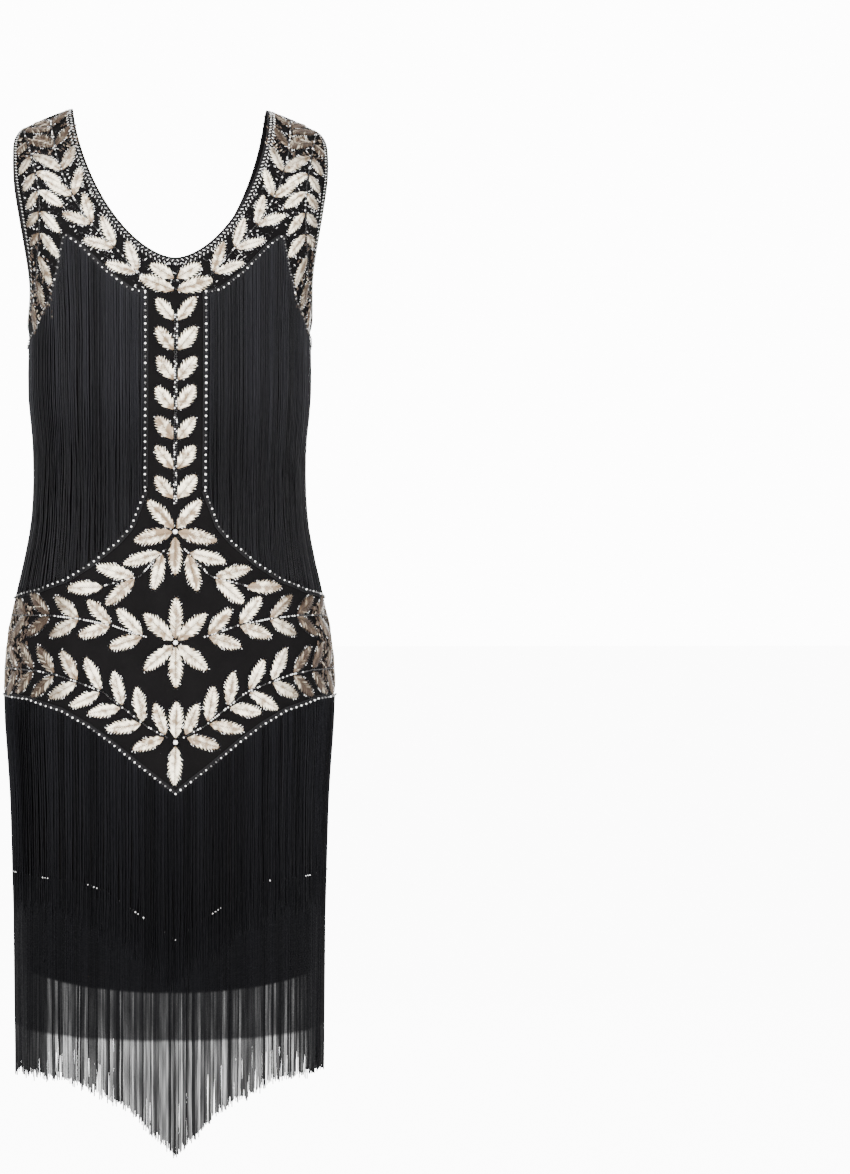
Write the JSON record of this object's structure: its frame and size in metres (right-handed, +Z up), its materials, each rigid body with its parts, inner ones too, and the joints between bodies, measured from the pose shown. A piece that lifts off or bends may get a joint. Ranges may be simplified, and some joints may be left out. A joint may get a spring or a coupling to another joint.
{
  "type": "flapper dress",
  "caption": "Sleeveless beaded flapper dress with scoop neck, leaf motifs and hanging fringe, held in its worn shape with no wearer.",
  "frame": {"origin": "midway between the two shoulder straps, level with their neck ends, where a wearer's shoulders carry the dress", "axes": "+Z up, the front faces -Y, +X to the right as seen from the front; the dress is symmetric about X = 0"},
  "size_m": [0.341, 0.243, 1.0494],
  "materials": {
    "beaded_net": "black net over jersey, with ivory sequin leaves",
    "lining_cloth": "matt black jersey",
    "fringe_thread": "twisted black thread with a soft sheen",
    "leaf_beading": "ivory and champagne sequins",
    "silver_beads": "silver lined round glass beads"
  },
  "bodies": {
    "root": {"front_panel": "beaded_net", "back_panel": "beaded_net", "lining_front": "lining_cloth", "lining_back": "lining_cloth", "bodice_fringe_front_left": "fringe_thread", "bodice_fringe_front_right": "fringe_thread", "bodice_fringe_back_left": "fringe_thread", "bodice_fringe_back_right": "fringe_thread", "skirt_fringe_upper_front": "fringe_thread", "skirt_fringe_upper_back": "fringe_thread", "skirt_fringe_lower_front": "fringe_thread", "skirt_fringe_lower_back": "fringe_thread"}
  },
  "joints": []
}
